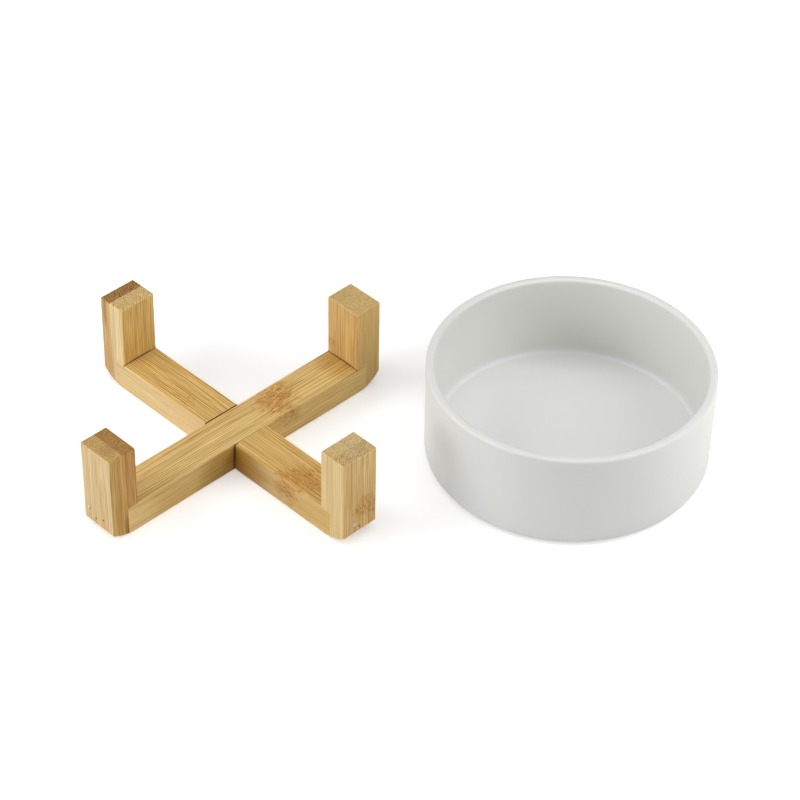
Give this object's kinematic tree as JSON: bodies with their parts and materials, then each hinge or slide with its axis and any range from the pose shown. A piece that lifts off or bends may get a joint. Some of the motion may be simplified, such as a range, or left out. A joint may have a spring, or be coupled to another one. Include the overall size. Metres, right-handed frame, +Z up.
{
  "type": "raised pet food bowl",
  "caption": "Straight-sided ceramic pet food bowl, standing beside the cross-shaped bamboo stand with corner posts that holds it off the floor.",
  "frame": {"origin": "on the floor, under the middle of the stand's crossing", "axes": "+X from the stand towards the bowl set down beside it, +Y away from the viewer, +Z up"},
  "size_m": [0.3314, 0.1585, 0.0585],
  "materials": {
    "glaze": "satin",
    "bamboo": "satin",
    "brad_steel": "satin"
  },
  "bodies": {
    "lower_half": {"lower_rail": "bamboo", "post_front_right": "bamboo", "post_back_left": "bamboo", "brad_front_right_1": "brad_steel", "brad_front_right_2": "brad_steel", "brad_back_left_1": "brad_steel", "brad_back_left_2": "brad_steel"},
    "upper_half": {"upper_rail": "bamboo", "post_front_left": "bamboo", "post_back_right": "bamboo", "brad_front_left_1": "brad_steel", "brad_front_left_2": "brad_steel", "brad_front_left_3": "brad_steel", "brad_back_right_1": "brad_steel", "brad_back_right_2": "brad_steel", "brad_back_right_3": "brad_steel"},
    "bowl": {"bowl": "glaze"}
  },
  "joints": [
    {"name": "upper_half_lift", "type": "slide", "parent": "lower_half", "child": "upper_half", "axis": [0, 0, 1], "range_m": [0, 0.07]},
    {"name": "bowl_lift", "type": "slide", "parent": "lower_half", "child": "bowl", "axis": [0, 0, 1], "range_m": [0, 0.08]}
  ]
}
